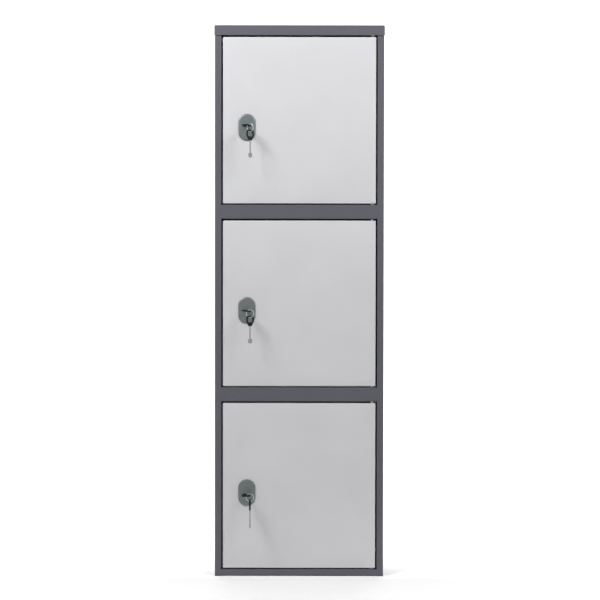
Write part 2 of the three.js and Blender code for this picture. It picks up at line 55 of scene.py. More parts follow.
FORWARD = Vector((0, -1, 0))
SHARP_ANGLE = math.radians(32)

# Sheet metal
SHEET = 1.0 * MM
BEND = 1.8 * MM
DOOR_RETURN = 12 * MM
DOOR_CORNER = 2.4 * MM
FRONT_MARGIN = 30 * MM
CUT_EDGE = 0.3 * MM
STILE_EDGE = 210.5 * MM
RAIL_HEIGHT = 38.5 * MM
FIRST_RAIL_HEIGHT = 19 * MM
WELD_WIDTH = 2.7 * MM
WELD_DEPTH = 1.68 * MM
WELD_OFFSET = 0.75 * MM
CASEWORK_EDGE = 0.22 * MM
FITTING_EDGE = 0.25 * MM

# Hinges
PIN_RADIUS = 4 * MM
PIN_COLLAR = 3 * MM
PIN_FILLET = 0.4 * MM
PIN_NOSE = 1.2 * MM
BUSH_BORE = 4.3 * MM
BUSH_RADIUS = 6 * MM
BUSH_NECK = 1.3 * MM
BUSH_FLANGE = 1.5 * MM

# Lock
BOLT_HEIGHT = 24 * MM
BOLT_THICK = 8 * MM
BOLT_PLAY = 0.8 * MM
COVER_EDGE = 1.0 * MM
ROTOR_HOLE = 8.8 * MM
SCREW_MARGIN = 7 * MM
SCREW_RADIUS = 3.3 * MM

# Keys and rings
BOW_WIDTH = 24 * MM
BOW_LENGTH = 28 * MM
BOW_THICK = 4.4 * MM
BOW_FOOT = 9 * MM
BOW_SHOULDER = 12 * MM
BOW_STRIP = 3.6 * MM
BOW_EDGE = 0.9 * MM
EYE_LENGTH = 14 * MM
SHANK_RADIUS = 2 * MM
SHANK_LENGTH = 47 * MM
TANG_RADIUS = 1.1 * MM
TANG_LENGTH = 7 * MM
FLAG_THICK = 2 * MM
FLAG_LENGTH = 11 * MM
FLAG_STEPS = (6.5 * MM, 5.2 * MM, 6.5 * MM, 5.8 * MM)
TIP = 2 * MM
RING_RADIUS = 10.2 * MM
RING_TURNS = 1.94
WIRE_WIDE = 0.72 * MM
WIRE_THICK = 0.38 * MM

# How the keys and rings hang, in degrees
KEY_TILT = {"lower": 0, "middle": 6, "upper": 0}
SPARE_YAW = {"lower": 90, "middle": 40, "upper": 42}
RING_YAW = {"lower": 0, "middle": -10, "upper": -35}


# ---- Shader nodes ----


class Shader:
    """A material under construction: adds nodes and links them by name."""

    def __init__(self, name):
        self.material = bpy.data.materials.new(name)
        self.material.use_nodes = True
        self.tree = self.material.node_tree
        self.tree.nodes.clear()
        output = self.tree.nodes.new("ShaderNodeOutputMaterial")
        self.surface = self.tree.nodes.new("ShaderNodeBsdfPrincipled")
        self.link(self.surface.outputs["BSDF"], output.inputs["Surface"])
        self.position = self.tree.nodes.new("ShaderNodeTexCoord").outputs["Object"]

    def link(self, source, target):
        """Joins an output to an input."""
        self.tree.links.new(source, target)

    def feed(self, target, value):
        """Links an input to a socket, or sets it to a plain value."""
        if isinstance(value, bpy.types.NodeSocket):
            self.link(value, target)
        else:
            target.default_value = value

    def set(self, **values):
        """Feeds inputs of the surface, named with underscores for spaces."""
        for name, value in values.items():
            self.feed(self.surface.inputs[name.replace("_", " ")], value)

    def noise(self, scale, detail=3.0, roughness=0.5, stretch=(1, 1, 1)):
        """Noise in the piece's own coordinates, with each axis stretched."""
        mapping = self.tree.nodes.new("ShaderNodeMapping")
        mapping.inputs["Scale"].default_value = stretch
        self.link(self.position, mapping.inputs["Vector"])
        noise = self.tree.nodes.new("ShaderNodeTexNoise")
        noise.inputs["Scale"].default_value = scale
        noise.inputs["Detail"].default_value = detail
        noise.inputs["Roughness"].default_value = roughness
        self.link(mapping.outputs["Vector"], noise.inputs["Vector"])
        return noise.outputs["Fac"]

    def spread(self, value, low, high, to_low=0.0, to_high=1.0):
        """Maps a value from one range to another, held at both ends."""
        node = self.tree.nodes.new("ShaderNodeMapRange")
        self.feed(node.inputs["Value"], value)
        node.inputs["From Min"].default_value = low
        node.inputs["From Max"].default_value = high
        node.inputs["To Min"].default_value = to_low
        node.inputs["To Max"].default_value = to_high
        return node.outputs["Result"]

    def math(self, operation, first, second=0.0):
        """One step of arithmetic on two values."""
        node = self.tree.nodes.new("ShaderNodeMath")
        node.operation = operation
        self.feed(node.inputs[0], first)
        self.feed(node.inputs[1], second)
        return node.outputs["Value"]

    def blend(self, amount, first, second):
        """The colour that lies between the first and the second by an amount."""
        node = self.tree.nodes.new("ShaderNodeMix")
        node.data_type = "RGBA"
        self.feed(node.inputs["Factor"], amount)
        self.feed(node.inputs["A"], first)
        self.feed(node.inputs["B"], second)
        return node.outputs["Result"]

    def bump(self, height, strength, distance, normal=None):
        """The normal bent by a height, on top of another bend where there is one."""
        node = self.tree.nodes.new("ShaderNodeBump")
        node.inputs["Strength"].default_value = strength
        node.inputs["Distance"].default_value = distance
        self.link(height, node.inputs["Height"])
        if normal is not None:
            self.link(normal, node.inputs["Normal"])
        return node.outputs["Normal"]

    def edges(self, radius):
        """1 along convex and concave edges, 0 on flats, from how much a rounded normal differs."""
        rounded = self.tree.nodes.new("ShaderNodeBevel")
        rounded.samples = 6
        rounded.inputs["Radius"].default_value = radius
        geometry = self.tree.nodes.new("ShaderNodeNewGeometry")
        dot = self.tree.nodes.new("ShaderNodeVectorMath")
        dot.operation = "DOT_PRODUCT"
        self.link(rounded.outputs["Normal"], dot.inputs[0])
        self.link(geometry.outputs["Normal"], dot.inputs[1])
        return self.spread(dot.outputs["Value"], 0.995, 0.86)

    def crevice(self, reach):
        """1 in the open, less where another surface stands within reach: the mask for painted shade in seams
        and under overhangs.
        """
        node = self.tree.nodes.new("ShaderNodeAmbientOcclusion")
        node.samples = 8
        node.inputs["Distance"].default_value = reach
        return self.spread(node.outputs["AO"], 0.5, 0.98)


def shade(colour, factor):
    """The colour made darker or lighter by a factor."""
    return (*[min(part * factor, 1.0) for part in colour[:3]], 1.0)


def powder_coat(name, colour, wear, roughness, peel, painted_shade):
    """Baked powder paint: orange-peel bumps, faint mottling, rubbed edges and painted shade in the seams and
    under overhangs.
    """
    shader = Shader(name)
    mottle = shader.spread(shader.noise(6, 4), 0.3, 0.7)
    speckle = shader.spread(shader.noise(1400, 2), 0.35, 0.65)
    body = shader.blend(mottle, shade(colour, 0.965), shade(colour, 1.03))
    body = shader.blend(shader.math("MULTIPLY", speckle, 0.25), body, shade(colour, 0.93))
    rubbed = shader.math("MULTIPLY", shader.edges(0.7 * MM), shader.spread(shader.noise(90, 4), 0.42, 0.66))
    body = shader.blend(shader.math("MULTIPLY", rubbed, 0.55), body, wear)
    # Painted shade: the colour darkens where another surface stands within reach, as in seams and under the
    # top cover's lip
    body = shader.blend(shader.crevice(5 * MM), shade(colour, 1 - painted_shade), body)
    coarse = shader.noise(420, 2)
    fine = shader.noise(2600, 2)
    normal = shader.bump(coarse, peel, 0.10 * MM)
    normal = shader.bump(fine, peel * 0.5, 0.03 * MM, normal)
    rough = shader.math("ADD", shader.spread(speckle, 0, 1, roughness - 0.04, roughness + 0.05),
                        shader.math("MULTIPLY", mottle, 0.04))
    shader.set(Base_Color=body, Roughness=rough, Normal=normal, Specular_IOR_Level=0.45)
    return shader.material


def satin_metal(name, colour, roughness, grain_stretch=(1, 1, 1)):
    """Satin plated metal with a fine grain, soft stains and edges rubbed bright."""
    shader = Shader(name)
    stain = shader.spread(shader.noise(140, 5, 0.6), 0.3, 0.75)
    grain = shader.noise(3200, 3, 0.6, grain_stretch)
    body = shader.blend(stain, shade(colour, 0.86), shade(colour, 1.1))
    edge = shader.math("MULTIPLY", shader.edges(0.35 * MM), 0.6)
    body = shader.blend(edge, body, shade(colour, 1.8))
    rough = shader.spread(grain, 0.3, 0.7, roughness - 0.06, roughness + 0.1)
    normal = shader.bump(grain, 0.16, 0.04 * MM)
    shader.set(Base_Color=body, Roughness=rough, Normal=normal, Metallic=0.6)
    return shader.material


def bright_metal(name, colour, roughness):
    """Plated wire or pin: bright, with fine drawing scratches."""
    shader = Shader(name)
    scratches = shader.noise(1800, 3, 0.6, (1, 1, 0.15))
    body = shader.blend(shader.spread(shader.noise(300, 3), 0.35, 0.7), shade(colour, 0.85), shade(colour, 1))
    rough = shader.spread(scratches, 0.3, 0.7, roughness * 0.7, roughness * 1.5)
    normal = shader.bump(scratches, 0.1, 0.02 * MM)
    shader.set(Base_Color=body, Roughness=rough, Normal=normal, Metallic=0.7)
    return shader.material


def zinc_plate(name):
    """Zinc-plated sheet: blue-grey spangles with a soft yellow cast here and there."""
    shader = Shader(name)
    cells = shader.tree.nodes.new("ShaderNodeTexVoronoi")
    cells.inputs["Scale"].default_value = 260
    shader.link(shader.position, cells.inputs["Vector"])
    tone = shader.spread(cells.outputs["Distance"], 0.0, 0.8)
    body = shader.blend(tone, (0.36, 0.38, 0.40, 1), (0.52, 0.53, 0.53, 1))
    body = shader.blend(shader.spread(shader.noise(45, 4), 0.5, 0.8), body, (0.50, 0.46, 0.33, 1))
    rough = shader.spread(shader.noise(700, 3), 0.3, 0.7, 0.28, 0.46)
    normal = shader.bump(shader.noise(2400, 3), 0.12, 0.03 * MM)
    shader.set(Base_Color=body, Roughness=rough, Normal=normal, Metallic=0.9)
    return shader.material


def moulded_plastic(name, colour, roughness, grain):
    """Moulded plastic or rubber: a fine spark-eroded grain, and handled edges a little shinier and paler."""
    shader = Shader(name)
    handled = shader.spread(shader.noise(120, 4), 0.35, 0.7)
    edge = shader.math("MULTIPLY", shader.edges(0.4 * MM), handled)
    body = shader.blend(edge, shade(colour, 1), shade(colour, 2.2))
    texture = shader.noise(2200, 4, 0.65)
    rough = shader.math("SUBTRACT", shader.spread(texture, 0.3, 0.7, roughness - 0.05, roughness + 0.08),
                        shader.math("MULTIPLY", handled, 0.08))
    normal = shader.bump(texture, grain, 0.04 * MM)
    shader.set(Base_Color=body, Roughness=rough, Normal=normal, Specular_IOR_Level=0.3)
    return shader.material


FINISHES = {
    # The last number of each powder coat sets how dark its painted shade in the seams gets
    "frame_paint": powder_coat("frame_paint", (0.100, 0.100, 0.121), (0.21, 0.21, 0.235, 1), 0.46, 0.35, 0.8),
    "door_paint": powder_coat("door_paint", (0.61, 0.61, 0.63), (0.70, 0.70, 0.71, 1), 0.42, 0.3, 0.25),
    "satin_metal": satin_metal("satin_metal", (0.195, 0.222, 0.224), 0.5),
    "key_steel": satin_metal("key_steel", (0.42, 0.41, 0.37), 0.34, (1, 1, 0.2)),
    "bright_steel": bright_metal("bright_steel", (0.84, 0.85, 0.87), 0.32),
    "zinc_steel": zinc_plate("zinc_steel"),
    "black_plastic": moulded_plastic("black_plastic", (0.008, 0.008, 0.0085), 0.5, 0.25),
    "nylon": moulded_plastic("nylon", (0.66, 0.64, 0.58), 0.5, 0.1),
    "rubber": moulded_plastic("rubber", (0.018, 0.018, 0.018), 0.7, 0.3),
}


# ---- Outlines, as lists of 2D points, counter-clockwise ----


def rounded(corners, radii, steps=6):
    """The closed outline through the corners, with each corner an arc of its radius."""
    points = []
    for i, (corner, radius) in enumerate(zip(corners, radii)):
        corner = Vector(corner)
        before = (corner - Vector(corners[i - 1])).normalized()
        after = (Vector(corners[(i + 1) % len(corners)]) - corner).normalized()
        turn = math.atan2(before.x * after.y - before.y * after.x, before.dot(after))
        if radius == 0 or abs(turn) < 1e-6:
            points.append(corner)
            continue
        side = math.copysign(1, turn)
        start = corner - before * radius * math.tan(abs(turn) / 2)
        centre = start + Vector((-before.y, before.x)) * side * radius
        for step in range(steps + 1):
            spin = Matrix.Rotation(turn * step / steps, 2)
            points.append(centre + spin @ (start - centre))
    return points


def rectangle(width, height, radius, steps=6):
    """A rectangle about the origin, with rounded corners."""
    x, y = width / 2, height / 2
    return rounded([(-x, -y), (x, -y), (x, y), (-x, y)], [radius] * 4, steps)


def circle(radius, sides=64):
    """A circle about the origin."""
    return [Vector((radius * math.cos(2 * math.pi * k / sides), radius * math.sin(2 * math.pi * k / sides)))
            for k in range(sides)]


def inset(points, distance):
    """The outline moved inwards by a distance along its own corner normals."""
    moved = []
    for i, point in enumerate(points):
        before = (point - points[i - 1]).normalized()
        after = (points[(i + 1) % len(points)] - point).normalized()
        normal = Vector((-before.y - after.y, before.x + after.x)).normalized()
        stretch = max(normal.dot(Vector((-before.y, before.x))), 0.5)
        moved.append(point + normal * distance / stretch)
    return moved


# ---- Solids ----


class Solid:
    """A closed mesh built from loops in local axes across, along and outward, placed by an origin."""

    def __init__(self, origin, across, along, mesh=None):
        self.mesh = bmesh.new() if mesh is None else mesh
        self.origin = Vector(origin)
        self.across = Vector(across)
        self.along = Vector(along)
        self.outward = self.across.cross(self.along)

    def loop(self, points, height):
        """A loop of new vertices through the points, at a height along the outward axis."""
        base = self.origin + self.outward * height
        return [self.mesh.verts.new(base + self.across * x + self.along * y) for x, y in points]

    def skin(self, loops):
        """Joins each loop to the next with a band of faces."""
        for low, high in zip(loops, loops[1:]):
            for i in range(len(low)):
                j = (i + 1) % len(low)
                self.mesh.faces.new((low[i], low[j], high[j], high[i]))

    def cap(self, outer, holes=(), facing_out=True):
        """Fills an outer loop around its holes with triangles."""
        loops = [outer, *holes]
        flat = [vert for loop in loops for vert in loop]
        for corners in tessellate_polygon([[vert.co for vert in loop] for loop in loops]):
            first, second, third = [flat[k] for k in corners]
            normal = (second.co - first.co).cross(third.co - first.co)
            if (normal.dot(self.outward) > 0) != facing_out:
                second, third = third, second
            self.mesh.faces.new((first, second, third))

    def plate(self, outline, holes, base, thickness, edge, steps=4):
        """A flat plate with holes and rounded edges, from base to base + thickness."""
        corners = [math.pi / 2 * step / steps for step in range(steps + 1)]
        levels = [(edge * (1 - math.sin(a)), base + edge * (1 - math.cos(a))) for a in corners]
        levels += [(edge * (1 - math.cos(a)), base + thickness - edge * (1 - math.sin(a))) for a in corners]
        rings = []
        for points, side in [(outline, 1), *[(hole, -1) for hole in holes]]:
            loops = [self.loop(inset(points, side * distance), height) for distance, height in levels]
            self.skin(loops if side > 0 else loops[::-1])
            rings.append((loops[0], loops[-1]))
        self.cap(rings[0][0], [ring[0] for ring in rings[1:]], facing_out=False)
        self.cap(rings[0][1], [ring[1] for ring in rings[1:]])

    def lathe(self, profile, sides=48):
        """Turns (radius, height) pairs about the outward axis; the first and last pair lie on the axis."""
        loops = [self.loop(circle(radius, sides), height) for radius, height in profile[1:-1]]
        self.skin(loops)
        self.cap(loops[0], facing_out=False)
        self.cap(loops[-1])

    def turned_ring(self, profile, sides=48):
        """Turns a closed profile of (radius, height) pairs about the outward axis, clear of the axis."""
        loops = [self.loop(circle(radius, sides), height) for radius, height in profile]
        self.skin([*loops, loops[0]])

    def finish(self, name):
        """Turns the mesh into a piece of the scene."""
        bmesh.ops.remove_doubles(self.mesh, verts=self.mesh.verts, dist=1e-7)
        bmesh.ops.recalc_face_normals(self.mesh, faces=self.mesh.faces)
        data = bpy.data.meshes.new(name)
        self.mesh.to_mesh(data)
        self.mesh.free()
        piece = bpy.data.objects.new(name, data)
        bpy.context.scene.collection.objects.link(piece)
        smooth(data)
        return piece


def smooth(data):
    """Shades faces round, except across edges that turn sharply."""
    for face in data.polygons:
        face.use_smooth = True
    data.set_sharp_from_angle(angle=SHARP_ANGLE)


def arc(centre, radius, start, end, steps=5):
    """Points along an arc, with angles in degrees."""
    angles = [math.radians(start + (end - start) * step / steps) for step in range(steps + 1)]
    return [(centre[0] + radius * math.cos(a), centre[1] + radius * math.sin(a)) for a in angles]


def place(piece, body, finish, *replaced):
    """Gives a piece its finish, lets it ride on a body and hides the CAD nodes that it stands for."""
    piece.data.materials.clear()
    piece.data.materials.append(FINISHES[finish])
    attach(piece, body)
    if replaced:
        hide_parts(*replaced)


def carve(piece, tools):
    """Cuts the tools out of the piece and deletes them."""
    for tool in tools:
        cutter = piece.modifiers.new("cut", "BOOLEAN")
        cutter.operation = "DIFFERENCE"
        cutter.solver = "EXACT"
        cutter.object = tool
    graph = bpy.context.evaluated_depsgraph_get()
    data = bpy.data.meshes.new_from_object(piece.evaluated_get(graph))
    piece.modifiers.clear()
    piece.data = data
    smooth(data)
    for tool in tools:
        bpy.data.objects.remove(tool)


def block(low, high):
    """A cutting tool: the box between two corners."""
    solid = Solid((0, 0, 0), (1, 0, 0), (0, 1, 0))
    corners = [(low[0], low[1]), (high[0], low[1]), (high[0], high[1]), (low[0], high[1])]
    foot = solid.loop(corners, low[2])
    head = solid.loop(corners, high[2])
    solid.skin([foot, head])
    solid.mesh.faces.new(foot[::-1])
    solid.mesh.faces.new(head)
    return solid.finish("tool")


def rod(origin, radius, length):
    """A cutting tool: an upright cylinder."""
    solid = Solid(origin, (1, 0, 0), (0, 1, 0))
    solid.lathe([(0, 0), (radius, 0), (radius, length), (0, length)], 32)
    return solid.finish("tool")


def middle_of(node):
    """The middle of a CAD node's box."""
    low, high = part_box(node)
    return (low + high) / 2


# ---- Doors ----


def folded_edge(depth):
    """The section of a door's edge: (distance in from the edge, distance back) pairs, front to back."""
    inside = BEND - SHEET
    chamfer = CUT_EDGE
    return [
        (FRONT_MARGIN, 0),
        *[(BEND - x, BEND - y) for x, y in arc((0, 0), BEND, 90, 0)],
        *[(BEND - x, depth - BEND + y) for x, y in arc((0, 0), BEND, 0, 90)],
        (DOOR_RETURN - chamfer, depth),
        (DOOR_RETURN, depth - chamfer),
        (DOOR_RETURN, depth - SHEET + chamfer),
        (DOOR_RETURN - chamfer, depth - SHEET),
        *[(BEND - x, depth - BEND + y) for x, y in arc((0, 0), inside, 90, 0)],
        *[(BEND - x, BEND - y) for x, y in arc((0, 0), inside, 0, 90)],
        (FRONT_MARGIN, SHEET),
    ]


def door_panel(level):
    """A tray folded from one sheet, with rounded folds, pin holes and the slot for the bolt."""
    node = f"{level}_door_panel"
    low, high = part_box(node)
    size = high - low
    solid = Solid(((low.x + high.x) / 2, low.y, (low.z + high.z) / 2), (1, 0, 0), UP)
    loops = []
    for distance, back in folded_edge(size.y):
        corner = max(DOOR_CORNER - distance, CUT_EDGE)
        outline = rectangle(size.x - 2 * distance, size.z - 2 * distance, corner, 4)
        loops.append(solid.loop(outline, -back))
    solid.skin(loops[::-1])
    solid.cap(loops[0])
    solid.cap(loops[-1], facing_out=False)
    panel = solid.finish(f"{level}_door_skin")

    pin = middle_of(f"{level}_door_lower_hinge_pin")
    bolt_low, bolt_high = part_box(f"{level}_lock_bolt")
    over, into = 2 * MM, 3 * MM
    slot_low = (low.x - over, bolt_low.y - BOLT_PLAY, bolt_high.z - BOLT_HEIGHT - BOLT_PLAY)
    slot_high = (low.x + into, bolt_low.y + BOLT_THICK + BOLT_PLAY, bolt_high.z + BOLT_PLAY)
    carve(panel, [
        rod((pin.x, pin.y, low.z - over), BUSH_BORE, over + into),
        rod((pin.x, pin.y, high.z - into), BUSH_BORE, over + into),
        block(slot_low, slot_high),
    ])
    place(panel, f"{level}_door", "door_paint", node)


def hinge_pin(level, end, side):
    """A turned pin with a collar inside the door and a rounded nose."""
    node = f"{level}_door_{end}_hinge_pin"
    low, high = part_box(node)
    middle = middle_of(node)
    head = high.z if side < 0 else low.z
    length = high.z - low.z
    collar = (high.x - low.x) / 2
    soft = 0.6 * MM
    solid = Solid((middle.x, middle.y, head), (1, 0, 0), (0, side, 0))
    solid.lathe([
        (0, 0), (collar - soft, 0), *arc((collar - soft, soft), soft, -90, 0, 3),
        *arc((collar - soft, PIN_COLLAR - soft), soft, 0, 90, 3), (PIN_RADIUS + PIN_FILLET, PIN_COLLAR),
        *[(PIN_RADIUS + PIN_FILLET - x, PIN_COLLAR + PIN_FILLET - y)
          for x, y in arc((0, 0), PIN_FILLET, 90, 0, 3)],
        (PIN_RADIUS, length - PIN_NOSE),
        *arc((PIN_RADIUS - PIN_NOSE, length - PIN_NOSE), PIN_NOSE, 0, 90, 4),
        (0, length),
    ])
    place(solid.finish(f"{node}_turned"), f"{level}_door", "bright_steel", node)


def hinge_bush(level, end, side):
    """A flanged nylon bush in the rail, which the pin turns in."""
    node = f"{level}_door_{end}_hinge_bush"
    low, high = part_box(node)
    pin = middle_of(f"{level}_door_{end}_hinge_pin")
    face = high.z if side < 0 else low.z
    flange, tall = (high.x - low.x) / 2, high.z - low.z
    tiny, soft = 0.2 * MM, 0.3 * MM
    under = BUSH_NECK + BUSH_FLANGE
    solid = Solid((pin.x, pin.y, face), (1, 0, 0), (0, side, 0))
    solid.turned_ring([
        (BUSH_BORE, 0.5 * MM), (BUSH_BORE + 0.5 * MM, 0), (BUSH_RADIUS - tiny, 0), (BUSH_RADIUS, tiny),
        (BUSH_RADIUS, BUSH_NECK), (flange - soft, BUSH_NECK), (flange, BUSH_NECK + soft),
        (flange, under - soft), (flange - soft, under), (BUSH_RADIUS, under),
        (BUSH_RADIUS, tall - 2 * tiny), (BUSH_RADIUS - 2 * tiny, tall),
        (BUSH_BORE + soft, tall), (BUSH_BORE, tall - soft),
    ])
    place(solid.finish(f"{node}_turned"), "root", "nylon", node)


def door_buffer(level):
    """A stuck-on rubber dome that the door closes against."""
    node = f"{level}_door_buffer"
    low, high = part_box(node)
    middle = middle_of(node)
    solid = Solid((middle.x, high.y, middle.z), (1, 0, 0), UP)
    radius, tall = (high.x - low.x) / 2, high.y - low.y
    dome = [(1, 0), (1, 0.35), (0.93, 0.62), (0.78, 0.84), (0.55, 0.96), (0.2, 1)]
    solid.lathe([(0, 0), *[(radius * x, tall * y) for x, y in dome], (0, tall)], 32)
    place(solid.finish(f"{node}_dome"), "root", "rubber", node)


# ---- Locks ----


def escutcheon(level):
    """The lock's cover: an obround plate with a sloping border and a low collar round the rotor."""
    node = f"{level}_lock_escutcheon"
    low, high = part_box(node)
    middle = middle_of(node)
    width, height, thick = high.x - low.x, high.z - low.z, high.y - low.y
    solid = Solid((middle.x, high.y, middle.z), (1, 0, 0), UP)

    def border(distance, out):
        outline = rectangle(width - 2 * distance, height - 2 * distance, width / 2 - distance - 0.3 * MM, 16)
        return solid.loop(outline, out)

    loops = [
        border(0.15 * MM, 0), border(0, 0.15 * MM), border(0, COVER_EDGE - 0.3 * MM),
        border(0.1 * MM, COVER_EDGE), border(0.4 * MM, COVER_EDGE + 0.25 * MM),
        border(3.2 * MM, thick - 0.16 * MM), border(3.7 * MM, thick - 0.03 * MM), border(4.3 * MM, thick),
    ]
    groove = thick - 0.25 * MM
    collar = [
        (10.4 * MM, thick), (10.2 * MM, groove), (9.9 * MM, groove), (9.7 * MM, thick),
        (ROTOR_HOLE + 0.2 * MM, thick), (ROTOR_HOLE, thick - 0.2 * MM), (ROTOR_HOLE, 0),
    ]
    rings = [solid.loop(circle(radius, 64), out) for radius, out in collar]
    solid.skin(loops)
    solid.skin(rings)
    solid.cap(loops[-1], [rings[0]])
    solid.cap(loops[0], [rings[-1]], facing_out=False)
    place(solid.finish(f"{node}_plate"), f"{level}_door", "satin_metal", node)


def lock_screw(name, body, x, y, z):
    """A pan-head screw with a cross recess, facing back."""
    solid = Solid((x, y, z), (-1, 0, 0), UP)
    arm, half = 1.7 * MM, 0.45 * MM
    cross = rounded([(-arm, -half), (-half, -half), (-half, -arm), (half, -arm), (half, -half), (arm, -half),
                     (arm, half), (half, half), (half, arm), (-half, arm), (-half, half), (-arm, half)],
                    [0.1 * MM] * 12, 2)
    solid.plate(circle(SCREW_RADIUS, 40), [], -0.8 * MM, 1.5 * MM, 0.15 * MM, 2)
    solid.plate(circle(SCREW_RADIUS - 0.1 * MM, 40), [cross], 0.8 * MM, 1.0 * MM, 0.05 * MM, 1)
    place(solid.finish(name), body, "bright_steel")


def lock_screws(level):
    """Four screws in the corners of the lock case, seen when the door is open."""
    low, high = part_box(f"{level}_lock_case")
    for height, z in (("low", low.z + SCREW_MARGIN), ("high", high.z - SCREW_MARGIN)):
        for side, x in (("left", low.x + SCREW_MARGIN), ("right", high.x - SCREW_MARGIN)):
            lock_screw(f"{level}_lock_screw_{height}_{side}", f"{level}_door", x, high.y, z)


# ---- Keys ----


def key_axes(level, kind):
    """An empty solid in the key's own axes: outlines run along the key, from the foot of its bow."""
    low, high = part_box(f"{level}_{kind}_bow")
    middle = (low + high) / 2
    if kind == "key":
        tilt = math.radians(KEY_TILT[level])
        across = Vector((math.cos(tilt), 0, -math.sin(tilt)))
        return Solid((middle.x, high.y, middle.z), across, FORWARD)
    yaw = math.radians(SPARE_YAW[level])
    across = Vector((math.cos(yaw), math.sin(yaw), 0))
    return Solid((middle.x, middle.y, low.z), across, UP)


def key_bow(level, kind):
    """A moulded grip with a wide eye and soft edges."""
    node = f"{level}_{kind}_bow"
    solid = key_axes(level, kind)
    half, foot = BOW_WIDTH / 2, BOW_FOOT / 2
    corners = [(-foot, 0), (foot, 0), (half, BOW_SHOULDER),
               (half, BOW_LENGTH), (-half, BOW_LENGTH), (-half, BOW_SHOULDER)]
    outline = rounded(corners, [MM, MM, 6 * MM, 7 * MM, 7 * MM, 6 * MM], 8)
    eye_half = half - BOW_STRIP
    eye_end = BOW_LENGTH - BOW_STRIP
    eye_start = eye_end - EYE_LENGTH
    eye = rounded([(-eye_half, eye_start), (eye_half, eye_start), (eye_half, eye_end), (-eye_half, eye_end)],
                  [4 * MM] * 4, 8)
    solid.plate(outline, [eye], -BOW_THICK / 2, BOW_THICK, BOW_EDGE, 4)
    place(solid.finish(f"{node}_grip"), f"{level}_{kind}", "black_plastic", node)


def key_blade(level, kind):
    """A round shank with a collar at the bow, and two flags cut with steps near its tip."""
    node = f"{level}_{kind}_blade"
    solid = key_axes(level, kind)
    start = TIP - SHANK_LENGTH
    step = FLAG_LENGTH / len(FLAG_STEPS)
    right = []
    for i, half in enumerate(FLAG_STEPS):
        right += [(half, start + i * step), (half, start + (i + 1) * step)]
    left = [(-x, y) for x, y in reversed(right)]
    outline = rounded(right + left, [0.25 * MM] * 16, 2)
    solid.plate(outline, [], -FLAG_THICK / 2, FLAG_THICK, 0.2 * MM, 2)

    shank = Solid(solid.origin, solid.across, -solid.outward, solid.mesh)
    radius, tiny = SHANK_RADIUS, 0.2 * MM
    collar = radius + 0.7 * MM
    shank.lathe([
        (0, -SHANK_LENGTH), (radius - 0.9 * MM, -SHANK_LENGTH),
        (radius - 0.25 * MM, 0.4 * MM - SHANK_LENGTH), (radius, 1.1 * MM - SHANK_LENGTH),
        (radius, -4.2 * MM), (collar - tiny, -4.0 * MM), (collar, -3.8 * MM),
        (collar, -2.4 * MM), (collar - tiny, -2.2 * MM), (radius, -2.0 * MM), (radius, -0.1 * MM),
        (TANG_RADIUS, -0.1 * MM), (TANG_RADIUS, TANG_LENGTH), (0, TANG_LENGTH),
    ], 32)
    place(solid.finish(f"{node}_steel"), f"{level}_{kind}", "key_steel", node)


def squared(value):
    """Pushes a sine or cosine outwards, so that a circle becomes a rounded square."""
    return abs(value) ** 0.6 * math.copysign(1, value)


def split_ring(level):
    """Two turns of flattened spring wire, with the step where one turn crosses to the other."""
    node = f"{level}_key_ring"
    yaw = math.radians(RING_YAW[level])
    solid = Solid(middle_of(node), (math.cos(yaw), math.sin(yaw), 0), UP)
    stations, sides, first_turn = 168, 12, 0.3
    step_at, step_length = 0.90, 0.14
    wire = []
    for k in range(stations + 1):
        travelled = RING_TURNS * k / stations
        angle = 2 * math.pi * (travelled + first_turn)
        crossing = min(max((travelled - step_at) / step_length, 0), 1)
        ease = crossing * crossing * (3 - 2 * crossing)
        offset = (2 * ease - 1) * (WIRE_THICK + 0.02 * MM)
        radial = solid.across * math.cos(angle) + UP * math.sin(angle)
        centre = solid.origin + radial * RING_RADIUS + solid.outward * offset
        end = min(k, stations - k)
        taper = (0.55, 0.85)[end] if end < 2 else 1.0
        spins = [2 * math.pi * s / sides for s in range(sides)]
        wire.append([
            solid.mesh.verts.new(centre + radial * WIRE_WIDE * squared(math.cos(spin)) * taper
                                 + solid.outward * WIRE_THICK * squared(math.sin(spin)) * taper)
            for spin in spins
        ])
    solid.skin(wire)
    solid.mesh.faces.new(wire[0][::-1])
    solid.mesh.faces.new(wire[-1])
    place(solid.finish(f"{node}_wire"), f"{level}_ring", "bright_steel", node)


# ---- CAD nodes that stay ----


def refine(node, width):
    """Welds a CAD node's faces, softens its cut edges and shades its bends round."""
    piece = frame["nodes"][node]
    weld = piece.modifiers.new("weld", "WELD")
    weld.merge_threshold = 1e-6
    clean = piece.modifiers.new("flats", "DECIMATE")
    clean.decimate_type = "DISSOLVE"
    clean.angle_limit = math.radians(0.5)
    bevel = piece.modifiers.new("soft_edges", "BEVEL")
    bevel.width = width
    bevel.segments = 2
    bevel.limit_method = "ANGLE"
    bevel.angle_limit = SHARP_ANGLE
    bevel.harden_normals = False
    piece.modifiers.new("shading", "WEIGHTED_NORMAL")


def finish_frame_nodes():
    """Gives every CAD node its finish, and softens the edges of those that no finer piece replaces."""
    slots = {row["node"]: row["material_slot"] for row in frame["record"]["subparts"]}
    for name, piece in frame["nodes"].items():
        for slot in piece.material_slots:
            slot.material = FINISHES[slots[name]]
    for name in ("left_side_panel", "right_side_panel", "bottom_pan", "lower_divider_shelf",
                 "upper_divider_shelf", "back_panel", "top_cover"):
        refine(name, CASEWORK_EDGE)
    for level in LEVELS:
        for part in ("door_stiffener", "lock_case", "lock_rotor", "lock_bolt"):
            refine(f"{level}_{part}", FITTING_EDGE)


